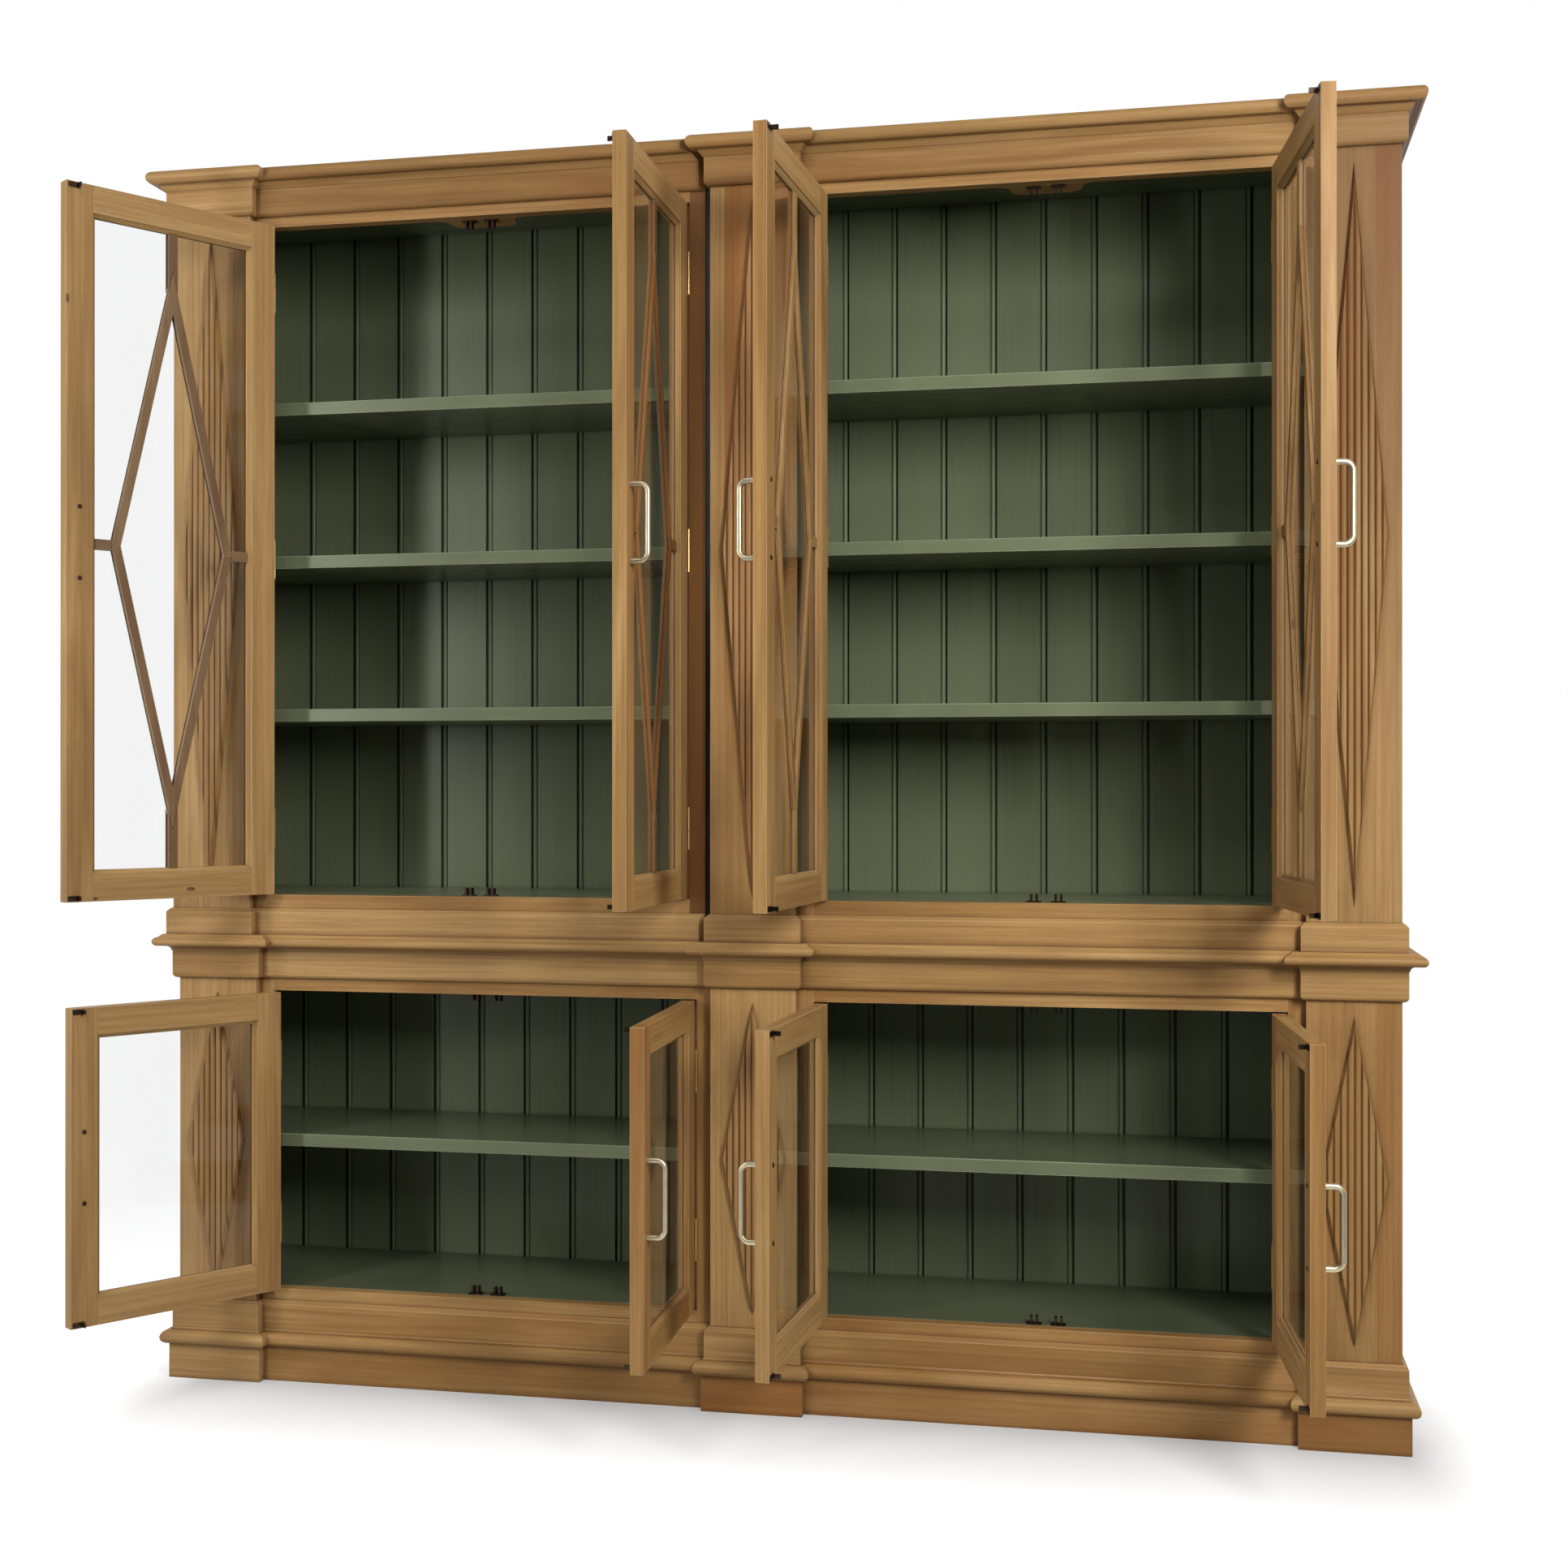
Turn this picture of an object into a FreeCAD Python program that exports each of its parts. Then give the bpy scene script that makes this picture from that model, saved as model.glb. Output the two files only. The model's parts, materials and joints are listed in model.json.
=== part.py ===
import FreeCAD
import Part
import math
import os

Vec = FreeCAD.Vector

# A breakfront display cabinet: one wide lower case carries two upper cases side by side.
# +X is the cabinet's right as seen from the front, -Y is the front and +Z is up.
# The origin is on the floor, midway across the lower case and midway through its depth.
# All sizes are in millimetres and all angles in degrees.

# Heights of the bands, from the floor to the top of the cornice
plinth_height = 66.0
base_moulding_height = 32.0
skirting_height = 55.0
lower_pilaster_height = 622.5
lower_frieze_height = 53.5
waist_height = 32.0
upper_base_height = 50.0
upper_pilaster_height = 1341.0
cornice_frieze_height = 53.0
cornice_height = 36.0

# Widths and depths of the cases
bay_width = 902.0
pilaster_width = 160.0
pilaster_proud = 19.0
case_depth = 356.0
unit_gap = 14.0
panel_thickness = 22.0
frame_thickness = 26.0
stile_show = 30.0
lower_sill_show = 22.0
lower_header_show = 23.5
upper_sill_show = 26.5
upper_header_show = 20.0
header_to_ceiling = 68.0
stop_reach = 12.0
stop_lap = 7.0
stop_thickness = 3.0
floor_thickness = 18.0
bearer_width = 40.0
bearer_pitch = 560.0

# Plain bands at the skirting, the friezes and the upper base
band_proud = 10.0
band_bevel_height = 7.0
band_bevel_depth = 7.0
frieze_round = 9.0

# Plinth and the torus above it
plinth_proud = 14.5
torus_proud = 28.0
torus_height = 27.0
torus_fillet_inset = 3.0
torus_fillet_height = 3.0

# Waist moulding: a fillet, a cove and a rounded nose
waist_fillet_proud = 12.0
waist_fillet_height = 3.5
waist_cove_height = 9.5
waist_cove_sag = 2.5
waist_nose_inset = 3.0
waist_nose_height = 17.0
waist_proud = 39.0
waist_top_inset = 6.0

# Cornice moulding: a sloped fillet under a rounded nose
cornice_foot_proud = 11.0
cornice_fillet_proud = 20.0
cornice_fillet_height = 10.0
cornice_step = 1.5
cornice_root_proud = 32.0
cornice_tip_height = 21.5
cornice_proud = 39.0
cornice_top_proud = 25.0

# Tongue-and-groove back boards, each with a bead beside its groove
board_pitch = 98.4
board_thickness = 15.0
groove_width = 4.0
groove_depth = 3.5
board_bead_width = 9.0
quirk_width = 2.0
narrowest_board = 20.0
upper_left_groove_offset = 27.0
upper_right_groove_offset = 11.0
lower_left_groove_offset = 95.0
lower_right_groove_offset = 63.0

# Shelves and the cleats that carry them
shelf_thickness = 25.0
shelf_clearance = 1.0
upper_shelf_setback = 58.0
upper_shelf_first_height = 362.0
upper_shelf_pitch = 301.5
upper_shelf_count = 3
lower_shelf_setback = 30.0
lower_shelf_first_height = 295.0
cleat_thickness = 12.0
cleat_height = 28.0
cleat_setback = 60.0

# Reeded lozenges on the pilasters
lozenge_width = 116.0
lozenge_margin = 25.0
lozenge_thickness = 12.0
lozenge_valley = 8.5
lozenge_bevel = 5.0
reed_count = 10

# Doors
door_thickness = 24.0
hinge_gap = 2.4
meeting_gap = 3.0
door_end_gap = 2.0
door_member_width = 50.0
bead_width = 7.0
bead_recess = 2.0
bead_slope = 6.0
glass_depth = 9.0
glass_thickness = 4.0
glass_clearance = 0.5

# Lozenge bars over the glass of the upper doors: bevelled outside, nearly flat inside
bar_width = 19.0
outer_bar_bevel = 5.0
inner_bar_bevel = 1.0
bar_recess = 5.5
bar_side_stub = 30.0
bar_end_stub = 68.0

# Butt hinges
upper_hinge_count = 3
lower_hinge_count = 2
hinge_height = 75.0
hinge_end_offset = 130.0
axis_proud = 2.2
knuckle_radius = 2.4
pin_radius = 1.2
pin_clearance = 0.05
knuckle_clearance = 0.3
leaf_clearance = 0.4
leaf_reach = 27.0
middle_knuckle = 25.0
pin_head_radius = 2.2
pin_head_height = 2.0

# Bar pulls
pull_centres = 128.0
pull_radius = 5.0
pull_projection = 35.0
pull_corner = 14.0
screw_head_radius = 4.0
screw_head_height = 1.2

# Ball catches, the blocks that the top ones hang from, and the strikes on the doors
catch_spacing = 44.0
catch_plate_width = 26.0
catch_plate_thickness = 2.5
catch_width = 14.0
catch_depth = 15.0
catch_height = 15.0
catch_slot = 6.0
catch_setback = 1.0
ball_radius = 2.2
ball_proud = 0.8
block_length = 158.0
block_depth = 52.0
block_height = 26.0
block_end_run = 30.0
block_end_sag = 4.0
strike_inner_reach = 5.0
strike_outer_reach = 17.0
strike_height = 9.0
strike_thickness = 1.5
tongue_thickness = 3.2
tongue_height = 8.0
tongue_length = 14.0

# How far each door stands open, counted from closed, from left to right
upper_door_angles = (124.1, 90.0, 93.8, 97.3)
lower_door_angles = (125.2, 92.2, 93.3, 95.0)

# How far a cutting shape runs past the shape that it cuts
cut_margin = 1.0

# Levels and lines that follow from the sizes above
base_moulding_bottom = plinth_height
skirting_bottom = base_moulding_bottom + base_moulding_height
lower_pilaster_bottom = skirting_bottom + skirting_height
lower_frieze_bottom = lower_pilaster_bottom + lower_pilaster_height
waist_bottom = lower_frieze_bottom + lower_frieze_height
waist_top = waist_bottom + waist_height
upper_pilaster_bottom = waist_top + upper_base_height
cornice_frieze_bottom = upper_pilaster_bottom + upper_pilaster_height
cornice_bottom = cornice_frieze_bottom + cornice_frieze_height
top = cornice_bottom + cornice_height
lower_floor = lower_pilaster_bottom + lower_sill_show
lower_head = lower_frieze_bottom - lower_header_show
upper_floor = upper_pilaster_bottom + upper_sill_show
upper_head = cornice_frieze_bottom - upper_header_show
upper_ceiling = upper_head + header_to_ceiling
lower_ceiling = waist_top - panel_thickness
face_y = -case_depth / 2
back_y = case_depth / 2
pilaster_y = face_y - pilaster_proud
frame_back_y = face_y + frame_thickness
board_front_y = back_y - board_thickness
half_width = bay_width + 1.5 * pilaster_width
half_pilaster = pilaster_width / 2
bay_edge = half_width - pilaster_width


# Basic shapes
def box(x0, x1, y0, y1, z0, z1):
    size = (abs(x1 - x0), abs(y1 - y0), abs(z1 - z0))
    return Part.makeBox(*size, Vec(min(x0, x1), min(y0, y1), min(z0, z1)))


def polygon(points):
    return Part.makePolygon(list(points) + [points[0]])


def prism(points, depth):
    return Part.Face(polygon(points)).extrude(depth)


def loft(first, second):
    return Part.makeLoft([polygon(first), polygon(second)], True, True)


def save(node, shapes):
    Part.makeCompound(shapes).exportStep("parts/" + node + ".step")


# Mouldings: a section of straight steps and arcs runs along a plan line and is mitred at its corners.
# A section is a list of (out, up) points; a step of two points is an arc through the first to the second.
def section_face(section, place):
    edges = []
    here = place(*section[0])
    for step in section[1:] + [section[0]]:
        if isinstance(step[0], tuple):
            end = place(*step[1])
            edges.append(Part.Arc(here, place(*step[0]), end).toShape())
        else:
            end = place(*step)
            edges.append(Part.LineSegment(here, end).toShape())
        here = end
    return Part.Face(Part.Wire(edges))


def moulding_run(start, end, start_mitre, end_mitre, normal, section, reach):
    along = (end - start).normalize()
    first = start - along * reach
    face = section_face(section, lambda out, up: first + normal * out + Vec(0, 0, up))
    bar = face.extrude(along * ((end - start).Length + 2 * reach))
    below = Vec(0, 0, bar.BoundBox.ZMin - cut_margin)
    corners = [start, end, end + end_mitre * reach, start + start_mitre * reach]
    trim = prism([corner + below for corner in corners], Vec(0, 0, bar.BoundBox.ZLength + 2 * cut_margin))
    return bar.common(trim).Solids[0]


def moulding(line, section, before=None, after=None):
    reach = cut_margin + max(step[0][0] if isinstance(step[0], tuple) else step[0] for step in section)
    points = [Vec(x, y, 0) for x, y in line]
    normals = []
    for start, end in zip(points, points[1:]):
        along = (end - start).normalize()
        normals.append(Vec(along.y, -along.x, 0))
    neighbours = [before or Vec()] + normals + [after or Vec()]
    runs = []
    for i, normal in enumerate(normals):
        start_mitre = normal + neighbours[i]
        end_mitre = normal + neighbours[i + 2]
        runs.append(moulding_run(points[i], points[i + 1], start_mitre, end_mitre, normal, section, reach))
    return runs


# Plan lines of the three cases, from the left back corner round the front to the right back corner
left_line = [(-half_width, back_y), (-half_width, pilaster_y), (-bay_edge, pilaster_y),
             (-bay_edge, face_y), (-half_pilaster, face_y)]
right_line = [(-half_pilaster, face_y), (-half_pilaster, pilaster_y), (half_pilaster, pilaster_y),
              (half_pilaster, face_y), (bay_edge, face_y), (bay_edge, pilaster_y),
              (half_width, pilaster_y), (half_width, back_y)]
lower_line = left_line + right_line[1:]
upper_left_line = [(x - unit_gap, y) for x, y in left_line]


def lower_moulding(section):
    return moulding(lower_line, section)


def upper_moulding(section):
    left = moulding(upper_left_line, section, after=Vec(-1, 0, 0))
    return left + moulding(right_line, section, before=Vec(0, -1, 0))


# Moulding sections. An arc from one point to the next stands out by its sag, to the right of its chord.
def arc_step(start, end, sag):
    run = (end[0] - start[0], end[1] - start[1])
    share = sag / math.hypot(*run)
    middle = ((start[0] + end[0]) / 2 + share * run[1], (start[1] + end[1]) / 2 - share * run[0])
    return (middle, end)


def band_section(bottom, height):
    level = bottom + height
    return [(0, bottom), (band_proud, bottom), (band_proud, level - band_bevel_height),
            (band_proud - band_bevel_depth, level), (0, level)]


def frieze_section(bottom, height):
    start = (band_proud - frieze_round, bottom)
    end = (band_proud, bottom + frieze_round)
    quarter_sag = frieze_round * (1 - math.sqrt(0.5))
    return [(0, bottom), start, arc_step(start, end, quarter_sag), (band_proud, bottom + height),
            (0, bottom + height)]


def plinth_section():
    return [(0, 0), (plinth_proud, 0), (plinth_proud, plinth_height), (0, plinth_height)]


def base_section():
    root = torus_proud - torus_height / 2
    start = (root, base_moulding_bottom)
    end = (root, base_moulding_bottom + torus_height)
    fillet = root - torus_fillet_inset
    return [(0, base_moulding_bottom), start, arc_step(start, end, torus_height / 2), (fillet, end[1]),
            (fillet, end[1] + torus_fillet_height), (band_proud, skirting_bottom), (0, skirting_bottom)]


def waist_section():
    root = waist_proud - waist_nose_height / 2
    cove = (waist_fillet_proud, waist_bottom + waist_fillet_height)
    lip = (root - waist_nose_inset, waist_bottom + waist_cove_height)
    nose = (root, waist_bottom + waist_cove_height)
    crown = (root, waist_bottom + waist_cove_height + waist_nose_height)
    return [(0, waist_bottom), (waist_fillet_proud, waist_bottom), cove, arc_step(cove, lip, -waist_cove_sag),
            nose, arc_step(nose, crown, waist_nose_height / 2), (root - waist_top_inset, waist_top),
            (0, waist_top)]


def cornice_section():
    fillet = cornice_bottom + cornice_fillet_height
    step = fillet + cornice_step
    tip = (cornice_proud, cornice_bottom + cornice_tip_height)
    return [(0, cornice_bottom), (cornice_foot_proud, cornice_bottom), (cornice_fillet_proud, fillet),
            (cornice_fillet_proud, step), (cornice_root_proud, step), (tip, (cornice_top_proud, top)),
            (0, top)]


# Reeded lozenges: a reeded slab cut to a diamond with bevelled edges
def lozenge(centre_x, bottom, height):
    half = lozenge_width / 2
    middle_z = bottom + height / 2

    def diamond(inset, depth):
        across = half - inset
        rise = (height / 2) * across / half
        y = pilaster_y - depth
        return [Vec(centre_x - across, y, middle_z), Vec(centre_x, y, middle_z - rise),
                Vec(centre_x + across, y, middle_z), Vec(centre_x, y, middle_z + rise)]

    pitch = lozenge_width / reed_count
    reeds = [(0, 0), (0, lozenge_valley)]
    for i in range(reed_count):
        reeds.append((((i + 0.5) * pitch, lozenge_thickness), ((i + 1) * pitch, lozenge_valley)))
    reeds.append((lozenge_width, 0))
    slab = section_face(reeds, lambda x, depth: Vec(centre_x - half + x, pilaster_y - depth, bottom))
    slab = slab.extrude(Vec(0, 0, height))
    return slab.common(loft(diamond(0, 0), diamond(lozenge_bevel, lozenge_thickness))).Solids[0]


# Bays: the door opening of each and the inside of the case behind it. The bead of a back board is on its
# left edge where bead is -1 and on its right edge where it is 1.
class Bay:
    def __init__(self, left, right, floor, head, inside_left, inside_right, ceiling, groove, bead):
        self.left = left
        self.right = right
        self.floor = floor
        self.head = head
        self.inside_left = inside_left
        self.inside_right = inside_right
        self.ceiling = ceiling
        self.groove = groove
        self.bead = bead
        self.middle = (left + right) / 2


opening_far = bay_edge - stile_show
opening_near = half_pilaster + stile_show
outer_inside = half_width - panel_thickness
upper_left = Bay(-opening_far - unit_gap, -opening_near - unit_gap, upper_floor, upper_head,
                 -outer_inside - unit_gap, -half_pilaster - unit_gap - panel_thickness,
                 upper_ceiling, upper_left_groove_offset, -1)
upper_right = Bay(opening_near, opening_far, upper_floor, upper_head,
                  -half_pilaster + panel_thickness, outer_inside,
                  upper_ceiling, upper_right_groove_offset, 1)
lower_left = Bay(-opening_far, -opening_near, lower_floor, lower_head,
                 -outer_inside, -panel_thickness / 2,
                 lower_ceiling, lower_left_groove_offset, -1)
lower_right = Bay(opening_near, opening_far, lower_floor, lower_head,
                  panel_thickness / 2, outer_inside,
                  lower_ceiling, lower_right_groove_offset, 1)
upper_bays = (upper_left, upper_right)
lower_bays = (lower_left, lower_right)


# Cases
def inner_board(bay, bottom, height):
    return box(bay.inside_left, bay.inside_right, frame_back_y, board_front_y, bottom, bottom + height)


def side_panel(inside_x, outward, bottom, height):
    outside_x = inside_x + outward * panel_thickness
    return box(inside_x, outside_x, frame_back_y, back_y, bottom, bottom + height)


def lower_case():
    pieces = [side_panel(-outer_inside, -1, 0, lower_ceiling), side_panel(outer_inside, 1, 0, lower_ceiling),
              side_panel(-panel_thickness / 2, 1, lower_floor - floor_thickness,
                         lower_ceiling - lower_floor + floor_thickness),
              box(-half_width, half_width, face_y, back_y, lower_ceiling, waist_top)]
    for bay in lower_bays:
        pieces.append(inner_board(bay, lower_floor - floor_thickness, floor_thickness))
    for place in (-1, 0, 1):
        x = place * bearer_pitch
        pieces.append(box(x - bearer_width / 2, x + bearer_width / 2, frame_back_y, board_front_y,
                          0, lower_floor - floor_thickness))
    return pieces


def upper_cases():
    pieces = []
    for bay in upper_bays:
        pieces.append(side_panel(bay.inside_left, -1, waist_top, top - waist_top))
        pieces.append(side_panel(bay.inside_right, 1, waist_top, top - waist_top))
        pieces.append(inner_board(bay, bay.floor - floor_thickness, floor_thickness))
        pieces.append(inner_board(bay, bay.ceiling, panel_thickness))
    return pieces


# Back boards, edge to edge across a case, each with a groove and a bead along one front edge
def board_outline(start, end):
    across = math.copysign(1, end - start)
    groove_floor = board_front_y + groove_depth
    bead_end = (end - across * groove_width, groove_floor)
    bead_start = (bead_end[0] - across * board_bead_width, groove_floor)
    quirk = (bead_start[0] - across * quirk_width, board_front_y)
    return [(start, back_y), (start, board_front_y), quirk, bead_start,
            arc_step(bead_start, bead_end, across * groove_depth), (end, groove_floor), (end, back_y)]


def back_boards(bay, bottom, height):
    first = bay.left + bay.groove
    steps_back = math.floor((first - bay.inside_left) / board_pitch)
    joint = first - steps_back * board_pitch
    joints = [bay.inside_left]
    while joint < bay.inside_right - narrowest_board:
        if joint > bay.inside_left + narrowest_board:
            joints.append(joint)
        joint += board_pitch
    joints.append(bay.inside_right)
    boards = []
    for left, right in zip(joints, joints[1:]):
        outline = board_outline(left, right) if bay.bead > 0 else board_outline(right, left)
        face = section_face(outline, lambda x, y: Vec(x, y, bottom))
        boards.append(face.extrude(Vec(0, 0, height)))
    return boards


# Face frames: full-height stiles with a header and a sill between them at each opening, and thin laths
# behind the middle stiles that the two middle doors of each storey close against
def stile(x0, x1, bottom, ceiling):
    return box(x0, x1, face_y, frame_back_y, bottom, ceiling)


def frame_rails(bay, bottom, ceiling):
    return [box(bay.left, bay.right, face_y, frame_back_y, bottom, bay.floor),
            box(bay.left, bay.right, face_y, frame_back_y, bay.head, ceiling)]


def door_stop(edge, inward, bay):
    return box(edge + inward * stop_reach, edge - inward * stop_lap, frame_back_y, frame_back_y + stop_thickness,
               bay.floor, bay.head)


def middle_stops(left_bay, right_bay):
    return [door_stop(left_bay.right, -1, left_bay), door_stop(right_bay.left, 1, right_bay)]


def lower_face_frame():
    pieces = [stile(-half_width, lower_left.left, 0, lower_ceiling),
              stile(lower_left.right, lower_right.left, 0, lower_ceiling),
              stile(lower_right.right, half_width, 0, lower_ceiling)]
    for bay in lower_bays:
        pieces += frame_rails(bay, 0, lower_ceiling)
    return pieces + middle_stops(lower_left, lower_right)


def upper_face_frames():
    pieces = [stile(-half_width - unit_gap, upper_left.left, waist_top, top),
              stile(upper_left.right, -half_pilaster - unit_gap, waist_top, top),
              stile(-half_pilaster, upper_right.left, waist_top, top),
              stile(upper_right.right, half_width, waist_top, top)]
    for bay in upper_bays:
        pieces += frame_rails(bay, waist_top, top)
    return pieces + middle_stops(upper_left, upper_right)


# Pilasters
lower_pilaster_middles = (half_pilaster - half_width, 0, half_width - half_pilaster)
upper_pilaster_middles = (lower_pilaster_middles[0] - unit_gap, 0, lower_pilaster_middles[2])


def pilasters(middles, bottom, height):
    return [box(x - half_pilaster, x + half_pilaster, pilaster_y, face_y, bottom, bottom + height)
            for x in middles]


def lozenges(middles, bottom, height):
    return [lozenge(x, bottom + lozenge_margin, height - 2 * lozenge_margin) for x in middles]


# Shelves and cleats
def shelf_tops(bay):
    if bay in lower_bays:
        return [bay.floor + lower_shelf_first_height]
    return [bay.floor + upper_shelf_first_height + i * upper_shelf_pitch for i in range(upper_shelf_count)]


def shelves(bays, setback):
    return [box(bay.inside_left + shelf_clearance, bay.inside_right - shelf_clearance,
                face_y + setback, board_front_y, level - shelf_thickness, level)
            for bay in bays for level in shelf_tops(bay)]


def cleats(bays):
    pieces = []
    for bay in bays:
        for level in shelf_tops(bay):
            seat = level - shelf_thickness
            for wall, inward in ((bay.inside_left, 1), (bay.inside_right, -1)):
                pieces.append(box(wall, wall + inward * cleat_thickness, frame_back_y + cleat_setback,
                                  board_front_y, seat - cleat_height, seat))
    return pieces


# Catch blocks behind the headers, level with their lower edges and with ogee ends
def catch_block(bay):
    half = block_length / 2
    back = (half - block_end_run, block_depth)
    turn = (half - block_end_run / 2, block_depth / 2)
    left_front, left_turn, left_back = (-half, 0), (-turn[0], turn[1]), (-back[0], back[1])
    outline = [left_front, arc_step(left_front, left_turn, block_end_sag),
               arc_step(left_turn, left_back, -block_end_sag), back,
               arc_step(back, turn, -block_end_sag), arc_step(turn, (half, 0), block_end_sag)]
    face = section_face(outline, lambda x, depth: Vec(bay.middle + x, frame_back_y + depth, bay.head))
    return face.extrude(Vec(0, 0, block_height))


# Ball catches: a plate, two cheeks and a ball in each cheek; up is 1 on the floor and -1 under a block
def ball_catch(x, seat, up):
    front = frame_back_y + catch_setback
    back = front + catch_depth
    plate_top = seat + up * catch_plate_thickness
    crown = seat + up * catch_height
    catch = box(x - catch_plate_width / 2, x + catch_plate_width / 2, front, back, seat, plate_top)
    ball_z = (plate_top + crown) / 2
    for side in (-1, 1):
        cheek = x + side * catch_slot / 2
        catch = catch.fuse(box(cheek, x + side * catch_width / 2, front, back, seat, crown))
        ball_x = cheek + side * (ball_radius - ball_proud)
        catch = catch.fuse(Part.makeSphere(ball_radius, Vec(ball_x, (front + back) / 2, ball_z)))
    return catch.removeSplitter().Solids[0]


def ball_catches():
    pieces = []
    for bay in upper_bays + lower_bays:
        for side in (-1, 1):
            x = bay.middle + side * catch_spacing / 2
            pieces.append(ball_catch(x, bay.floor, 1))
            pieces.append(ball_catch(x, bay.head, -1))
    return pieces


# A door is drawn closed about its hinge axis: u runs from the axis across the door, v runs from the
# axis into the cabinet, and hand is 1 for a door hinged on its left and -1 on its right.
class Door:
    def __init__(self, bay, hand, angle, hinge_count, barred):
        self.bay = bay
        self.hand = hand
        self.angle = angle
        self.barred = barred
        self.bottom = bay.floor + door_end_gap
        self.top = bay.head - door_end_gap
        self.near = hinge_gap / 2
        self.far = (bay.right - bay.left - meeting_gap - hinge_gap) / 2
        jamb = bay.left if hand > 0 else bay.right
        self.axis = Vec(jamb + hand * hinge_gap / 2, face_y - axis_proud, 0)
        lowest = self.bottom + hinge_end_offset
        pitch = (self.top - self.bottom - 2 * hinge_end_offset) / (hinge_count - 1)
        self.hinge_middles = [lowest + i * pitch for i in range(hinge_count)]
        self.outside = axis_proud
        self.inside = axis_proud + door_thickness

    def point(self, u, v, z):
        return Vec(self.hand * u, v, z)

    def slab(self, u0, u1, v0, v1, z0, z1):
        return box(self.hand * u0, self.hand * u1, v0, v1, z0, z1)

    def swing(self, shape, angle):
        turned = shape.copy()
        turned.rotate(Vec(), Vec(0, 0, 1), -self.hand * angle)
        turned.translate(self.axis)
        return turned

    def save(self, node, shapes):
        save(node, [self.swing(shape, self.angle) for shape in shapes])


# Door frame: two stiles, two rails and mitred glazing beads on both faces of the glass
def door_bead(door, v_edge, v_lip, v_glass):
    u0 = door.near + door_member_width
    u1 = door.far - door_member_width
    z0 = door.bottom + door_member_width
    z1 = door.top - door_member_width
    corners = [(u0, z0, 1, 1), (u1, z0, -1, 1), (u1, z1, -1, -1), (u0, z1, 1, -1)]
    pieces = []
    for i in range(4):
        ends = []
        for u, z, turn_u, turn_z in (corners[i], corners[(i + 1) % 4]):
            lip_u = u + turn_u * bead_width
            lip_z = z + turn_z * bead_width
            ends.append([door.point(u, v_edge, z), door.point(lip_u, v_lip, lip_z),
                         door.point(lip_u, v_glass, lip_z), door.point(u, v_glass, z)])
        pieces.append(loft(ends[0], ends[1]))
    return pieces


def door_frame(door):
    inner_near = door.near + door_member_width
    inner_far = door.far - door_member_width
    front = door.outside
    back = door.inside
    pieces = [door.slab(door.near, inner_near, front, back, door.bottom, door.top),
              door.slab(inner_far, door.far, front, back, door.bottom, door.top),
              door.slab(inner_near, inner_far, front, back, door.bottom, door.bottom + door_member_width),
              door.slab(inner_near, inner_far, front, back, door.top - door_member_width, door.top)]
    glass_front = front + glass_depth
    glass_back = glass_front + glass_thickness
    pieces += door_bead(door, front + bead_recess, front + bead_recess + bead_slope, glass_front)
    pieces += door_bead(door, back - bead_recess, back - bead_recess - bead_slope, glass_back)
    return pieces


def door_glass(door):
    edge = door_member_width + glass_clearance
    front = door.outside + glass_depth
    return door.slab(door.near + edge, door.far - edge, front, front + glass_thickness,
                     door.bottom + edge, door.top - edge)


# Lozenge bars: four mitred sides and four stubs that tie the lozenge to the beads, on each face of the glass
def door_bars(door, v_face, v_glass, bevel):
    edge = door_member_width + bead_width
    middle_u = (door.near + door.far) / 2
    middle_z = (door.bottom + door.top) / 2
    half_u = (door.far - door.near) / 2 - edge
    half_z = (door.top - door.bottom) / 2 - edge
    across = half_u - bar_side_stub
    rise = half_z - bar_end_stub
    slant = math.hypot(1 / across, 1 / rise)

    def place(u, z, v):
        return door.point(middle_u + u, v, middle_z + z)

    def side(turn_u, turn_z, inset, v):
        outer = 1 - inset * slant
        inner = 1 - (bar_width - inset) * slant
        return [place(0, turn_z * rise * outer, v), place(turn_u * across * outer, 0, v),
                place(turn_u * across * inner, 0, v), place(0, turn_z * rise * inner, v)]

    def stub(upright, turn, inset, v):
        half = bar_width / 2 - inset
        reach, cross, end = (rise, across, half_z) if upright else (across, rise, half_u)
        apex = reach * (1 - inset * slant)
        shoulder = apex - half * reach / cross
        outline = [(-half, end), (half, end), (half, shoulder), (0, apex), (-half, shoulder)]
        if upright:
            return [place(a, turn * b, v) for a, b in outline]
        return [place(turn * b, a, v) for a, b in outline]

    pieces = []
    for turn_u in (-1, 1):
        for turn_z in (-1, 1):
            pieces.append(loft(side(turn_u, turn_z, 0, v_glass), side(turn_u, turn_z, bevel, v_face)))
    for upright in (True, False):
        for turn in (-1, 1):
            base = stub(upright, turn, 0, v_glass)
            pieces.append(prism(base, Vec(0, v_face - v_glass, 0)))
    return pieces


def door_lozenge(door):
    glass_front = door.outside + glass_depth
    glass_back = glass_front + glass_thickness
    return (door_bars(door, door.outside + bar_recess, glass_front, outer_bar_bevel)
            + door_bars(door, door.inside - bar_recess, glass_back, inner_bar_bevel))


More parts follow.
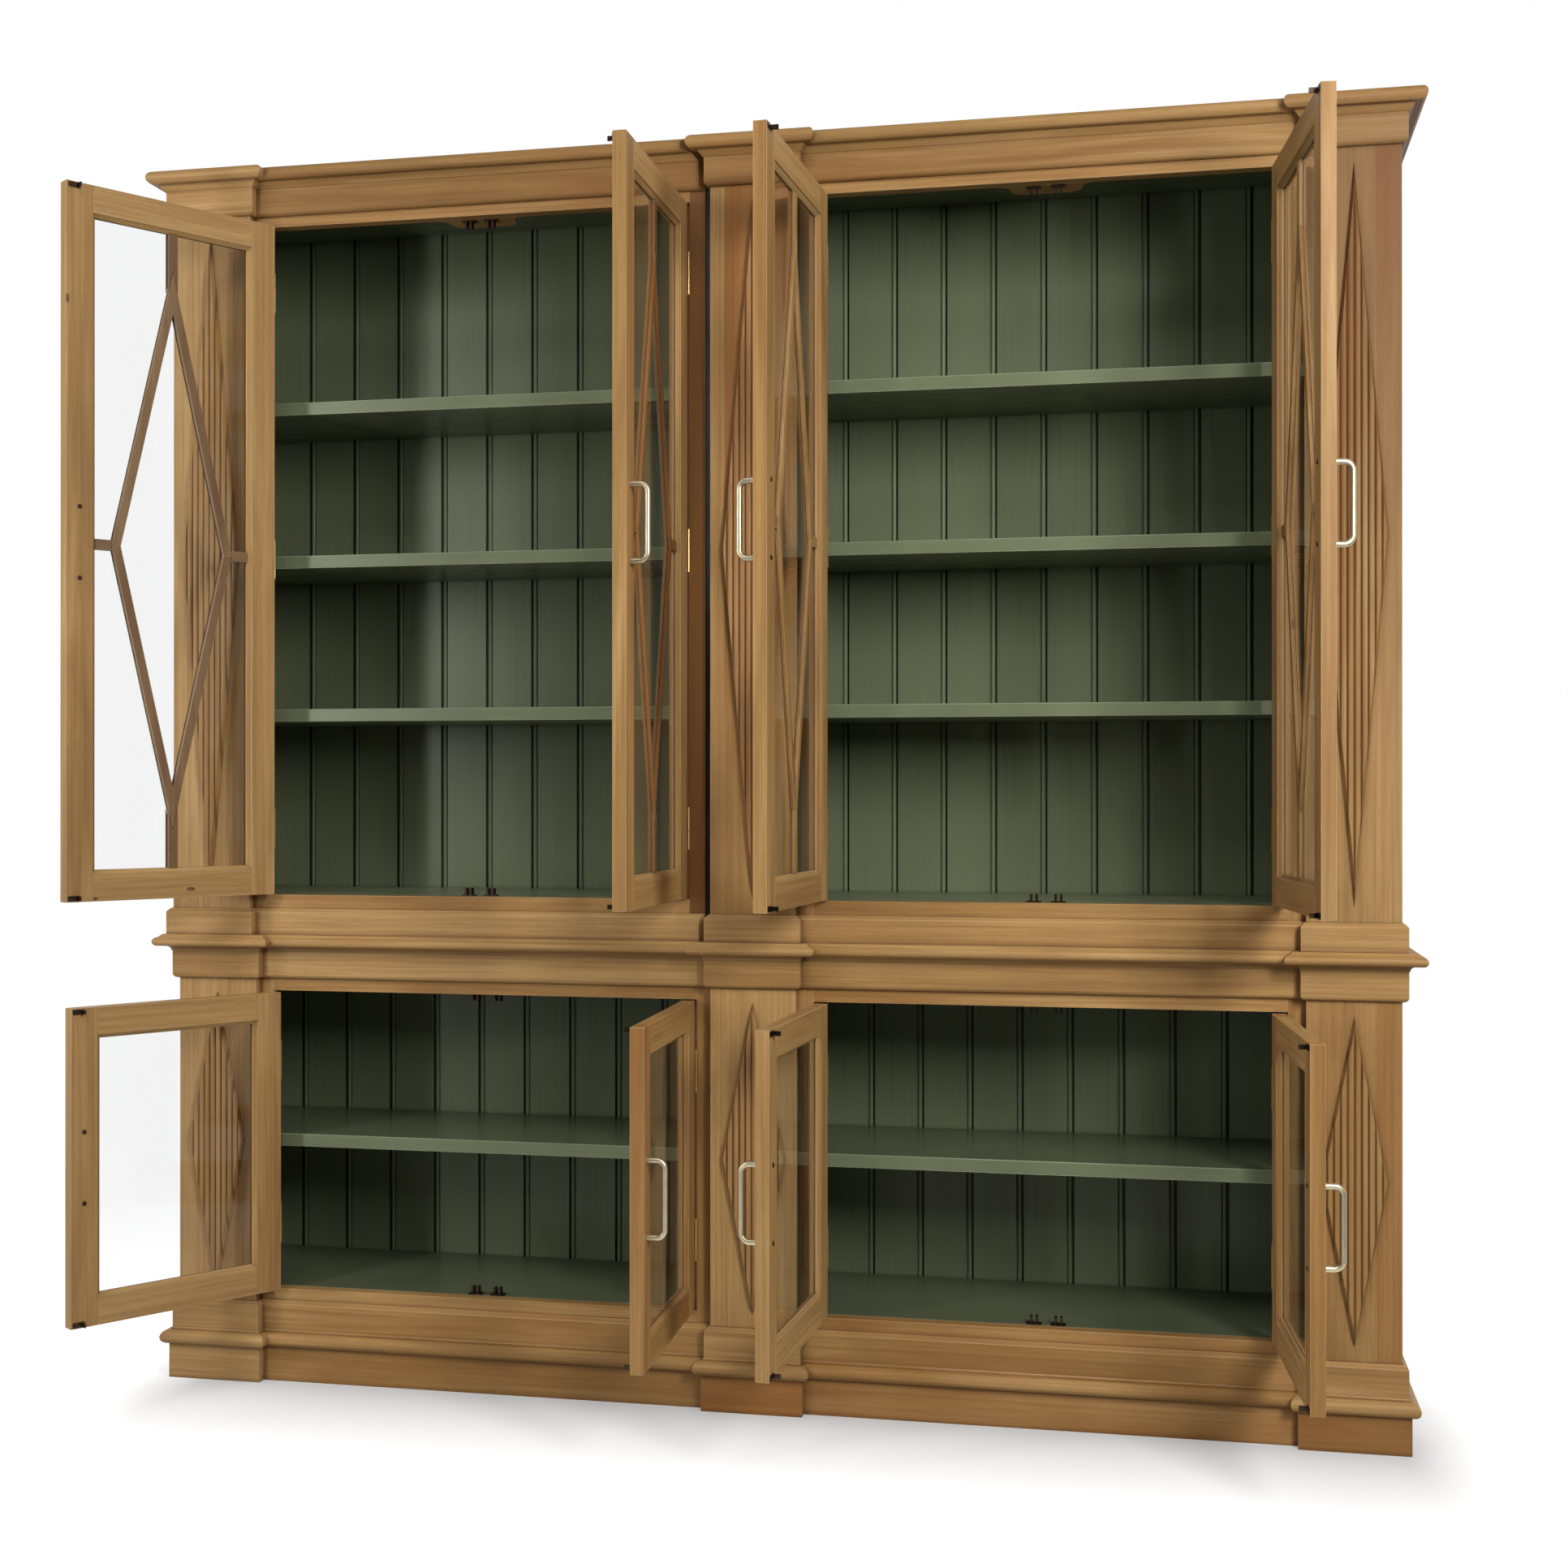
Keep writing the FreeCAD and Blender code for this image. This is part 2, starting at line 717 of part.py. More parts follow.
# Bar pull on the free stile, with the heads of its screws on the inside face
def door_pull(door):
    u = door.far - door_member_width / 2
    middle = (door.bottom + door.top) / 2
    half = pull_centres / 2
    grip = door.outside - pull_projection + pull_radius
    corner_mid = pull_corner * (1 - math.sqrt(0.5))
    bend = grip + pull_corner

    def at(v, z):
        return door.point(u, v, middle + z)

    path = [Part.LineSegment(at(door.outside, -half), at(bend, -half)),
            Part.Arc(at(bend, -half), at(grip + corner_mid, corner_mid - half), at(grip, pull_corner - half)),
            Part.LineSegment(at(grip, pull_corner - half), at(grip, half - pull_corner)),
            Part.Arc(at(grip, half - pull_corner), at(grip + corner_mid, half - corner_mid), at(bend, half)),
            Part.LineSegment(at(bend, half), at(door.outside, half))]
    wire = Part.Wire([piece.toShape() for piece in path])
    ring = Part.Wire(Part.makeCircle(pull_radius, at(door.outside, -half), Vec(0, 1, 0)))
    pieces = [wire.makePipeShell([ring], True, False)]
    for side in (-1, 1):
        pieces.append(Part.makeCylinder(screw_head_radius, screw_head_height,
                                        at(door.inside, side * half), Vec(0, 1, 0)))
    return pieces


# Butt hinges: one leaf on the frame with the end knuckles, one on the door with the middle knuckle
def hinge_leaf(door, middle, side, knuckles):
    inner = leaf_clearance / 2
    outer = hinge_gap / 2
    root = knuckle_radius + knuckle_clearance
    half = hinge_height / 2
    bore_radius = pin_radius + pin_clearance
    leaf = door.slab(side * inner, side * outer, root, leaf_reach, middle - half, middle + half)
    for z0, z1 in knuckles:
        barrel = Part.makeCylinder(knuckle_radius, z1 - z0, Vec(0, 0, middle + z0))
        neck = door.slab(side * inner, side * outer, 0, root, middle + z0, middle + z1)
        bore = Part.makeCylinder(bore_radius, z1 - z0, Vec(0, 0, middle + z0))
        leaf = leaf.fuse(barrel.fuse(neck).cut(bore))
    return leaf.removeSplitter().Solids[0]


def frame_hinges(door):
    pieces = []
    half = hinge_height / 2
    inner = middle_knuckle / 2 + knuckle_clearance
    for middle in door.hinge_middles:
        pieces.append(hinge_leaf(door, middle, -1, [(-half, -inner), (inner, half)]))
        pin = Part.makeCylinder(pin_radius, hinge_height, Vec(0, 0, middle - half))
        for z in (middle + half, middle - half - pin_head_height):
            pin = pin.fuse(Part.makeCylinder(pin_head_radius, pin_head_height, Vec(0, 0, z)))
        pieces.append(pin.Solids[0])
    return [door.swing(piece, 0) for piece in pieces]


# Strikes on the inside of the free stile, each with a tongue that enters a ball catch
def door_strikes(door):
    u = (door.bay.right - door.bay.left - hinge_gap - catch_spacing) / 2
    tongue_low = (catch_plate_thickness + catch_height - tongue_height) / 2
    pieces = []
    for seat, up in ((door.bay.floor, 1), (door.bay.head, -1)):
        low = seat + up * tongue_low
        high = low + up * tongue_height
        plate_middle = (low + high) / 2
        plate = door.slab(u - strike_inner_reach, u + strike_outer_reach, door.inside,
                          door.inside + strike_thickness, plate_middle - strike_height / 2,
                          plate_middle + strike_height / 2)
        tongue = door.slab(u - tongue_thickness / 2, u + tongue_thickness / 2, door.inside,
                           door.inside + tongue_length, low, high)
        pieces.append(plate.fuse(tongue).removeSplitter().Solids[0])
    return pieces


def door_fittings(door):
    half = middle_knuckle / 2
    leaves = [hinge_leaf(door, middle, 1, [(-half, half)]) for middle in door.hinge_middles]
    return leaves + door_strikes(door)


# All doors, from left to right in each row
def door_row(bays, angles, hinge_count, barred):
    sides = [(bay, hand) for bay in bays for hand in (1, -1)]
    return [Door(bay, hand, angle, hinge_count, barred) for (bay, hand), angle in zip(sides, angles)]


upper_doors = door_row(upper_bays, upper_door_angles, upper_hinge_count, True)
lower_doors = door_row(lower_bays, lower_door_angles, lower_hinge_count, False)

os.makedirs("parts", exist_ok=True)

save("plinth_boards", lower_moulding(plinth_section()))
save("base_moulding", lower_moulding(base_section()))
save("base_skirting", lower_moulding(band_section(skirting_bottom, skirting_height)))
save("lower_frieze", lower_moulding(frieze_section(lower_frieze_bottom, lower_frieze_height)))
save("waist_moulding", lower_moulding(waist_section()))
save("upper_base_blocks", upper_moulding(band_section(waist_top, upper_base_height)))
save("cornice_frieze", upper_moulding(frieze_section(cornice_frieze_bottom, cornice_frieze_height)))
save("cornice_moulding", upper_moulding(cornice_section()))

save("lower_case", lower_case())
save("upper_cases", upper_cases())
save("lower_face_frame", lower_face_frame())
save("upper_face_frames", upper_face_frames())
save("lower_back_boards", [board for bay in lower_bays for board in back_boards(bay, 0, lower_ceiling)])
save("upper_back_boards", [board for bay in upper_bays
                           for board in back_boards(bay, waist_top, top - waist_top)])
save("lower_pilasters", pilasters(lower_pilaster_middles, 0, waist_top))
save("upper_pilasters", pilasters(upper_pilaster_middles, waist_top, top - waist_top))
save("lower_lozenges", lozenges(lower_pilaster_middles, lower_pilaster_bottom, lower_pilaster_height))
save("upper_lozenges", lozenges(upper_pilaster_middles, upper_pilaster_bottom, upper_pilaster_height))
save("lower_shelves", shelves(lower_bays, lower_shelf_setback))
save("upper_shelves", shelves(upper_bays, upper_shelf_setback))
save("shelf_cleats", cleats(lower_bays + upper_bays))
save("catch_blocks", [catch_block(bay) for bay in upper_bays + lower_bays])
save("ball_catches", ball_catches())
save("hinge_frame_leaves", [piece for door in upper_doors + lower_doors for piece in frame_hinges(door)])

for row, doors in (("upper", upper_doors), ("lower", lower_doors)):
    for number, door in enumerate(doors, 1):
        name = row + "_door_" + str(number)
        door.save(name + "_frame", door_frame(door))
        door.save(name + "_glass", [door_glass(door)])
        door.save(name + "_pull", door_pull(door))
        door.save(name + "_fittings", door_fittings(door))
        if door.barred:
            door.save(name + "_bars", door_lozenge(door))
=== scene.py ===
import bmesh
import bpy
import json
import math
import random
from collections import namedtuple
from mathutils import Matrix, Vector


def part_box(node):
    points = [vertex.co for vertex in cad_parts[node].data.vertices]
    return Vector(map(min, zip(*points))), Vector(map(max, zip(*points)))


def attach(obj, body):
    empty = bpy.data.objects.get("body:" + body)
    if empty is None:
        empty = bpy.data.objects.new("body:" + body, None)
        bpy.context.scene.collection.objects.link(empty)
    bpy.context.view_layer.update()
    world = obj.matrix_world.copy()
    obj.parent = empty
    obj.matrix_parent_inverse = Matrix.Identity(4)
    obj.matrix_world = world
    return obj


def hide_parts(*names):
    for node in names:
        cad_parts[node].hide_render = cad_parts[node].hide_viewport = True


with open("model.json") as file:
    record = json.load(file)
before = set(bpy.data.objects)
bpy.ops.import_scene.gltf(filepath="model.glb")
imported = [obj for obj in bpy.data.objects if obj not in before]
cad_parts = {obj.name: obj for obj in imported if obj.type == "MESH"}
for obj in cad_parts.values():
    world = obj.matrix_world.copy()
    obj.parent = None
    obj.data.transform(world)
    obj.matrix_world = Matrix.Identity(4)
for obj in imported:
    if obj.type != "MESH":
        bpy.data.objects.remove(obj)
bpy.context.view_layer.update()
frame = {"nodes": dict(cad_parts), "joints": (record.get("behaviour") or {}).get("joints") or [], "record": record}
nodes = frame["nodes"]
record = frame["record"]
bodies = record["behaviour"]["bodies"]
body_of = {node: body for body, members in bodies.items() for node in members}
joints = {joint["child"]: joint for joint in frame["joints"]}
doors = [body for body in bodies if body in joints]


def linear(red, green, blue):
    """A colour given in screen values of 0 to 255, as Blender's linear colour."""
    values = [c / 255 for c in (red, green, blue)]
    return [c / 12.92 if c <= 0.04045 else ((c + 0.055) / 1.055) ** 2.4 for c in values] + [1.0]


class Tree:
    """The node tree of a material or world, with short ways to add and link nodes."""

    def __init__(self, owner, output="OutputMaterial"):
        self.owner = owner
        owner.use_nodes = True
        self.nodes = owner.node_tree.nodes
        self.links = owner.node_tree.links
        self.nodes.clear()
        self.output = self.add(output)

    def set(self, socket, value):
        if isinstance(value, bpy.types.NodeSocket):
            self.links.new(value, socket)
        else:
            socket.default_value = value

    def add(self, kind, inputs=None, **settings):
        node = self.nodes.new("ShaderNode" + kind)
        for name, value in settings.items():
            setattr(node, name, value)
        for name, value in (inputs or {}).items():
            self.set(node.inputs[name], value)
        return node

    def math(self, operation, first, second=0.0, clamp=False):
        node = self.add("Math", {0: first, 1: second}, operation=operation, use_clamp=clamp)
        return node.outputs[0]

    def ramp(self, value, *stops):
        """Maps a value through (position, grey level or colour) stops."""
        node = self.add("ValToRGB", {"Fac": value})
        elements = node.color_ramp.elements
        while len(elements) < len(stops):
            elements.new(0.5)
        for element, (position, level) in zip(elements, stops):
            element.position = position
            element.color = level if isinstance(level, list) else (level, level, level, 1.0)
        return node.outputs["Color"]

    def mix(self, share, first, second):
        node = self.add("Mix", data_type="RGBA", blend_type="MIX", clamp_factor=True)
        for socket, value in zip((node.inputs[0], node.inputs[6], node.inputs[7]), (share, first, second)):
            self.set(socket, value)
        return node.outputs[2]

    def stretched(self, vector, scale):
        return self.add("Mapping", {"Vector": vector, "Scale": scale}).outputs["Vector"]

    def noise(self, vector, scale, detail, roughness, distortion=0.0):
        node = self.add("TexNoise", {"Vector": self.stretched(vector, scale), "Scale": 1.0, "Detail": detail,
                                     "Roughness": roughness, "Distortion": distortion})
        return node.outputs["Fac"]

    def attribute(self, name, output="Fac"):
        return self.add("Attribute", attribute_name=name).outputs[output]

    def bump(self, height, strength, distance):
        node = self.add("Bump", {"Height": height, "Strength": strength, "Distance": distance})
        return node.outputs["Normal"]

    def corner(self, distance):
        """How open a place is: low in corners and hollows, where the materials paint shade."""
        return self.add("AmbientOcclusion", {"Distance": distance}, samples=6).outputs["AO"]

    def finish(self, shader):
        self.links.new(shader, self.output.inputs["Surface"])
        return self.owner


# Waxed wood: figure, streaks, pores and pin knots run along each piece's own grain. Tone, step and shade come
# from the tone rules below, where shade is painted shade. Corners get dark glaze and painted shade, edges are
# paler from wear and a painted highlight, and on reeded pieces the grooves, where the reed count is whole, get
# painted shade
PAINTED_SHADE_BROWN = linear(66, 38, 14)
KNOT_BROWN = linear(70, 40, 22)
GLAZE_AND_SHADE_BROWN = linear(78, 44, 20)
GROOVE_SHADE_BROWN = linear(74, 40, 20)
WORN_AND_LIT_WOOD = linear(205, 178, 132)
MOST_RED, MOST_PALE = 0.75, 0.55
KNOT_RARITY, KNOT_SIZE, KNOT_STRENGTH = 0.72, 0.24, 0.75


def wood(name, dark, middle, pale, red, gloss, streaked):
    tree = Tree(bpy.data.materials.new(name))
    grain = tree.attribute("grain", "Vector")
    figure = tree.noise(grain, (1.3, 13.0, 13.0), detail=5.0, roughness=0.55, distortion=0.9)
    streak = tree.noise(grain, (3.0, 170.0, 170.0), detail=4.0, roughness=0.6)
    pores = tree.noise(grain, (55.0, 1100.0, 1100.0), detail=2.0, roughness=0.6)
    blotch = tree.noise(grain, (2.2, 5.0, 5.0), detail=3.0, roughness=0.5)
    colour = tree.ramp(figure, (0.22, dark), (0.5, middle), (0.75, pale))
    colour = tree.mix(tree.ramp(blotch, (0.45, 0.0), (0.75, 0.45)), colour, red)
    other = tree.math("GREATER_THAN", tree.attribute("seam"), 0.0)
    tone = tree.math("ADD", tree.attribute("tone"), tree.math("MULTIPLY", other, tree.attribute("step")))
    warm = tree.math("MULTIPLY", tone, -1.0, clamp=True)
    light = tree.math("MULTIPLY", tone, 1.0, clamp=True)
    colour = tree.mix(tree.math("MULTIPLY", warm, MOST_RED), colour, red)
    colour = tree.mix(tree.math("MULTIPLY", light, MOST_PALE), colour, pale)
    # Painted shade: the shade attribute darkens the piece towards dark brown
    colour = tree.mix(tree.attribute("shade"), colour, PAINTED_SHADE_BROWN)
    colour = tree.mix(tree.ramp(streak, (0.3, streaked), (0.6, 0.0)), colour, dark)
    colour = tree.mix(tree.ramp(pores, (0.32, 0.3), (0.42, 0.0)), colour, dark)
    knots = tree.add("TexVoronoi", {"Vector": tree.stretched(grain, (5.0, 13.0, 13.0)), "Scale": 1.0})
    rare = tree.add("SeparateColor", {"Color": knots.outputs["Color"]}).outputs["Red"]
    reach = tree.math("MULTIPLY", tree.math("SUBTRACT", rare, KNOT_RARITY, clamp=True), KNOT_SIZE)
    spot = tree.math("GREATER_THAN", reach, knots.outputs["Distance"])
    colour = tree.mix(tree.math("MULTIPLY", spot, KNOT_STRENGTH), colour, KNOT_BROWN)
    # Corners and hollows darken: partly dark glaze, partly painted shade
    colour = tree.mix(tree.ramp(tree.corner(0.013), (0.3, 0.85), (0.88, 0.0)), colour, GLAZE_AND_SHADE_BROWN)
    # Painted shade in the grooves between reeds
    crest = tree.math("PINGPONG", tree.attribute("reed"), 0.5)
    colour = tree.mix(tree.ramp(crest, (0.06, 0.62), (0.22, 0.0)), colour, GROOVE_SHADE_BROWN)
    # Paler edges: partly wear, partly a painted highlight
    worn_and_lit = tree.math("MULTIPLY", tree.attribute("arris"), tree.ramp(blotch, (0.35, 0.1), (0.65, 0.5)))
    colour = tree.mix(worn_and_lit, colour, WORN_AND_LIT_WOOD)
    rough = tree.ramp(streak, (0.3, gloss + 0.12), (0.7, gloss))
    height = tree.math("ADD", streak, tree.math("MULTIPLY", pores, 0.6))
    shader = tree.add("BsdfPrincipled", {"Base Color": colour, "Roughness": rough, "Specular IOR Level": 0.2,
                                         "Normal": tree.bump(height, strength=0.22, distance=0.0006)})
    return tree.finish(shader.outputs[0])


# Semi-gloss paint with faint brush marks along each board, painted shade in the corners and paler edges, partly
# from wear and partly a painted highlight
CORNER_SHADE_GREEN = linear(22, 26, 16)
WORN_AND_LIT_GREEN = linear(170, 182, 150)


def paint(name, colour, shade, gloss, brushed):
    tree = Tree(bpy.data.materials.new(name))
    grain = tree.attribute("grain", "Vector")
    brush = tree.noise(grain, (2.5, 140.0, 140.0), detail=3.0, roughness=0.55)
    cloud = tree.noise(grain, (2.0, 6.0, 6.0), detail=2.0, roughness=0.5)
    blend = tree.mix(tree.ramp(cloud, (0.35, 0.0), (0.7, 0.5)), colour, shade)
    blend = tree.mix(tree.ramp(brush, (0.35, brushed), (0.6, 0.0)), blend, shade)
    # Painted shade in the corners
    blend = tree.mix(tree.ramp(tree.corner(0.012), (0.25, 0.5), (0.8, 0.0)), blend, CORNER_SHADE_GREEN)
    # Paler edges: partly wear, partly a painted highlight
    worn_and_lit = tree.math("MULTIPLY", tree.attribute("arris"), tree.ramp(cloud, (0.3, 0.15), (0.7, 0.5)))
    blend = tree.mix(worn_and_lit, blend, WORN_AND_LIT_GREEN)
    rough = tree.ramp(brush, (0.3, gloss + 1.25 * brushed), (0.7, gloss))
    shader = tree.add("BsdfPrincipled", {"Base Color": blend, "Roughness": rough, "Specular IOR Level": 0.17,
                                         "Normal": tree.bump(brush, strength=0.4 * brushed, distance=0.0003)})
    return tree.finish(shader.outputs[0])


# Metal with fine drawn lines and a little tarnish
def metal(name, colour, tarnish, gloss, tarnish_share):
    tree = Tree(bpy.data.materials.new(name))
    place = tree.add("TexCoord").outputs["Object"]
    lines = tree.noise(place, (900.0, 900.0, 60.0), detail=2.0, roughness=0.6)
    cloud = tree.noise(place, (45.0, 45.0, 45.0), detail=4.0, roughness=0.6)
    blend = tree.mix(tree.ramp(cloud, (0.4, 0.0), (0.75, tarnish_share)), colour, tarnish)
    rough = tree.ramp(lines, (0.3, gloss + 0.12), (0.7, gloss))
    shader = tree.add("BsdfPrincipled", {"Base Color": blend, "Metallic": 1.0, "Roughness": rough,
                                         "Normal": tree.bump(lines, strength=0.06, distance=0.0002)})
    return tree.finish(shader.outputs[0])


# Clear pane with faint waves; light for the things behind it passes straight through
GLASS_TINT = (0.905, 0.914, 0.908, 1.0)


def glass(name):
    tree = Tree(bpy.data.materials.new(name))
    place = tree.add("TexCoord").outputs["Object"]
    waves = tree.noise(place, (7.0, 7.0, 5.0), detail=2.0, roughness=0.5)
    pane = tree.add("BsdfPrincipled", {"Base Color": GLASS_TINT, "Transmission Weight": 1.0, "Roughness": 0.0,
                                       "IOR": 1.2, "Normal": tree.bump(waves, strength=0.02, distance=0.002)})
    path = tree.add("LightPath").outputs
    through = tree.math("MAXIMUM", path["Is Shadow Ray"], path["Is Diffuse Ray"])
    facing = tree.add("LayerWeight", {"Blend": 0.5}).outputs["Facing"]
    clear = tree.add("BsdfTransparent", {"Color": tree.ramp(facing, (0.55, 0.95), (0.95, 0.45))})
    blend = tree.add("MixShader", {0: through, 1: pane.outputs[0], 2: clear.outputs[0]})
    return tree.finish(blend.outputs[0])


waxed = wood("waxed_wood", dark=linear(110, 73, 36), middle=linear(160, 122, 71), pale=linear(190, 155, 103),
             red=linear(147, 96, 49), gloss=0.44, streaked=0.4)
bar_wood = wood("bar_wood", dark=linear(90, 63, 41), middle=linear(121, 94, 66), pale=linear(145, 119, 87),
                red=linear(112, 79, 53), gloss=0.4, streaked=0.18)
green = paint("green_paint", linear(110, 118, 91), linear(100, 108, 82), gloss=0.24, brushed=0.08)
# A darker copy of the green paint: painted shade on the tops of the lower shelves and the lower floor
painted_shade_green = paint("painted_shade_green_paint", linear(92, 99, 75), linear(85, 92, 69), gloss=0.22, brushed=0.03)
# Nearly black green: painted shade on the groove floors between the back boards
gap_shade_green = paint("gap_shade_green_paint", linear(30, 34, 24), linear(24, 28, 19), gloss=0.5, brushed=0.08)
pull_metal = metal("pull_metal", linear(206, 196, 166), linear(168, 150, 112), gloss=0.36, tarnish_share=0.35)
brass = metal("hinge_brass", linear(206, 178, 118), linear(140, 108, 58), gloss=0.26, tarnish_share=0.5)
bronze = metal("dark_bronze", linear(70, 54, 46), linear(36, 27, 24), gloss=0.34, tarnish_share=0.6)
clear = glass("clear_glass")

MICRONS = 1e6


def solids(node):
    """The solids of a CAD node, found again from its triangles: each is a run of faces that closes."""
    mesh = nodes[node].data
    points = [tuple(round(c * MICRONS) for c in vertex.co) for vertex in mesh.vertices]
    found = []
    faces = []
    loose = set()
    for polygon in mesh.polygons:
        loop = [points[i] for i in polygon.vertices]
        if len(set(loop)) < 3:
            continue
        faces.append(loop)
        for edge in zip(loop, loop[1:] + loop[:1]):
            back = edge[::-1]
            if back in loose:
                loose.remove(back)
            else:
                loose.add(edge)
        if not loose:
            found.append(faces)
            faces = []
    if faces:
        found.append(faces)
    return found


def closed_turn(body):
    """The turn that shuts a door from where it stands at rest."""
    if body not in joints:
        return Matrix.Identity(4)
    joint = joints[body]
    low, high = joint["range_deg"]
    shut = high if high > -low else low
    pivot = Matrix.Translation(Vector(joint["pos_m"]))
    return pivot @ Matrix.Rotation(math.radians(shut), 4, "Z") @ pivot.inverted()


# A tone is paler above 0 and redder below. Beyond a glue line, the seam, given in metres across the piece, it
# changes by a step, and shade darkens it as painted shade. A pair of values runs from the foot of the piece to its
# head
NO_SEAM = 9.0
Tone = namedtuple("Tone", "own seam step shade", defaults=(NO_SEAM, 0.0, 0.0))
Solid = namedtuple("Solid", "low high order offset tone")
GRAIN_SHIFT = 40
REDDEST, PALEST = -0.25, 0.35
FLAT_ANGLE, EDGE_ANGLE, SHARP_ANGLE = math.radians(0.5), math.radians(28), math.radians(32)
CREST = 0.5


def faded(value, share):
    return value[0] + (value[1] - value[0]) * share if isinstance(value, tuple) else value


def dress(node, pick, edge, tones=None, materials=(waxed, green), reeds=None):
    """Builds a node's solids again with softened edges, each with its own grain and tone.

    Sizes and places are those of shut doors. pick chooses a face's material, tones a solid's tone, and reeds
    counts the reeds at a place."""
    body = body_of[node]
    turn = closed_turn(body)
    work = bmesh.new()
    index = work.verts.layers.int.new("solid")
    grain = work.verts.layers.float_vector.new("grain")
    tone_layer, seam_layer, step_layer, painted_shade_layer, reed_layer = [
        work.verts.layers.float.new(name) for name in ("tone", "seam", "step", "shade", "reed")]
    arris = work.faces.layers.float.new("arris")
    found = []
    for number, faces in enumerate(solids(node)):
        made = {}
        for loop in faces:
            for point in loop:
                if point not in made:
                    made[point] = work.verts.new(Vector(point) / MICRONS)
                    made[point][index] = number
            try:
                work.faces.new([made[point] for point in loop])
            except ValueError:
                pass
        shut = [turn @ vertex.co for vertex in made.values()]
        low = Vector([min(p[i] for p in shut) for i in range(3)])
        high = Vector([max(p[i] for p in shut) for i in range(3)])
        size = high - low
        order = sorted(range(3), key=lambda i: -size[i])
        chance = random.Random(node + str(number))
        offset = Vector([chance.uniform(-GRAIN_SHIFT, GRAIN_SHIFT) for i in range(3)])
        own = chance.uniform(REDDEST, PALEST)
        tone = tones((low + high) / 2, size, own) if tones else Tone(own)
        found.append(Solid(low, high, order, offset, tone))
    bmesh.ops.dissolve_limit(work, angle_limit=FLAT_ANGLE, verts=work.verts, edges=work.edges)
    sharp = [e for e in work.edges if e.is_manifold and e.calc_face_angle() > EDGE_ANGLE]
    rims = bmesh.ops.bevel(work, geom=sharp, offset=edge, offset_type="OFFSET", segments=2, profile=0.5,
                           affect="EDGES", clamp_overlap=True)["faces"]
    for vertex in work.verts:
        low, high, order, offset, tone = found[vertex[index]]
        place = turn @ vertex.co - (low + high) / 2
        share = place.z / (high.z - low.z) + 0.5
        vertex[grain] = Vector([place[i] for i in order]) + offset
        vertex[tone_layer] = faded(tone.own, share)
        vertex[seam_layer] = place.x - tone.seam
        vertex[step_layer] = faded(tone.step, share)
        # The shade layer carries painted shade
        vertex[painted_shade_layer] = faded(tone.shade, share)
        vertex[reed_layer] = reeds(place) if reeds else CREST
    for face in rims:
        face[arris] = 1.0
    for face in work.faces:
        face.smooth = True
        solid = found[face.verts[0][index]]
        centre = turn @ face.calc_center_median()
        normal = turn.to_3x3() @ face.normal
        face.material_index = pick(centre, normal, solid.low, solid.high)
    work.normal_update()
    mesh = bpy.data.meshes.new("look_" + node)
    work.to_mesh(mesh)
    work.free()
    mesh.set_sharp_from_angle(angle=SHARP_ANGLE)
    for material in materials:
        mesh.materials.append(material)
    piece = bpy.data.objects.new("look_" + node, mesh)
    bpy.context.scene.collection.objects.link(piece)
    even = piece.modifiers.new("even_normals", "WEIGHTED_NORMAL")
    even.keep_sharp = True
    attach(piece, body)
    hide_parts(node)


# Materials by face. A face looks along an axis where its normal has at least this share of it
FACING = 0.7
# Slot 2 holds darker greens that paint shade
WOOD, GREEN, SHADE_GREEN = 0, 1, 2
GROOVE_DEPTH = 0.002
FLOOR_REACH, BEARER_REACH, TOP_REACH, SKIN = 0.2, 0.16, 0.06, 0.001
case_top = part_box("upper_cases")[1].z
case_low, case_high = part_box("lower_case")


def all_wood(centre, normal, low, high):
    return WOOD


def all_green(centre, normal, low, high):
    return GREEN


def front_wood(centre, normal, low, high):
    return GREEN if normal.y > FACING else WOOD


# Painted shade on the tops
def dull_top(centre, normal, low, high):
    return SHADE_GREEN if normal.z > FACING else GREEN


def rear_wood(centre, normal, low, high):
    if normal.y > FACING or normal.z > FACING:
        return WOOD
    # Groove floors between the boards get painted shade
    return SHADE_GREEN if normal.y < -FACING and centre.y > low.y + GROOVE_DEPTH else GREEN


def case_faces(centre, normal, low, high):
    # The floor of the lower case gets painted shade
    if normal.z > FACING and centre.z < case_low.z + FLOOR_REACH:
        return SHADE_GREEN
    outside = centre.x < case_low.x + SKIN or centre.x > case_high.x - SKIN
    above = normal.z > FACING and centre.z > case_top - TOP_REACH
    bearer = high.z < case_low.z + BEARER_REACH
    return WOOD if outside or above or bearer or normal.y > FACING else GREEN


# Tones by place, in metres from the middle of the cabinet. Every shade value below is painted shade
END = 0.95
LEAVES_MEET = 0.55
SHADED_STILE = (-0.2, -0.06)
RUN_WIDTH = 0.25
PILASTER_TONES = {
    ("upper", "left"): Tone(0.9),
    ("upper", "middle"): Tone(0.5, -0.053, (-0.6, -1.6), (0.0, 0.12)),
    ("upper", "right"): Tone((0.8, 0.15), 0.0375, (0.9, -1.6), (0.05, 0.6)),
    ("lower", "left"): Tone(0.9),
    ("lower", "middle"): Tone(0.75),
    ("lower", "right"): Tone(0.35, 0.0375, -0.9, 0.12)}
LOZENGE_TONES = {
    ("upper", "left"): Tone(0.4),
    ("upper", "middle"): Tone(-0.6),
    ("upper", "right"): Tone((0.6, -1.4), 0.004, (-0.1, 0.9), (-0.05, 0.65)),
    ("lower", "left"): Tone(0.4),
    ("lower", "middle"): Tone(0.6),
    ("lower", "right"): Tone(0.05, shade=0.1)}
PLINTH_TONES = {"left": Tone(1.0), "middle": Tone(-1.0), "right": Tone(-0.5, shade=0.18)}
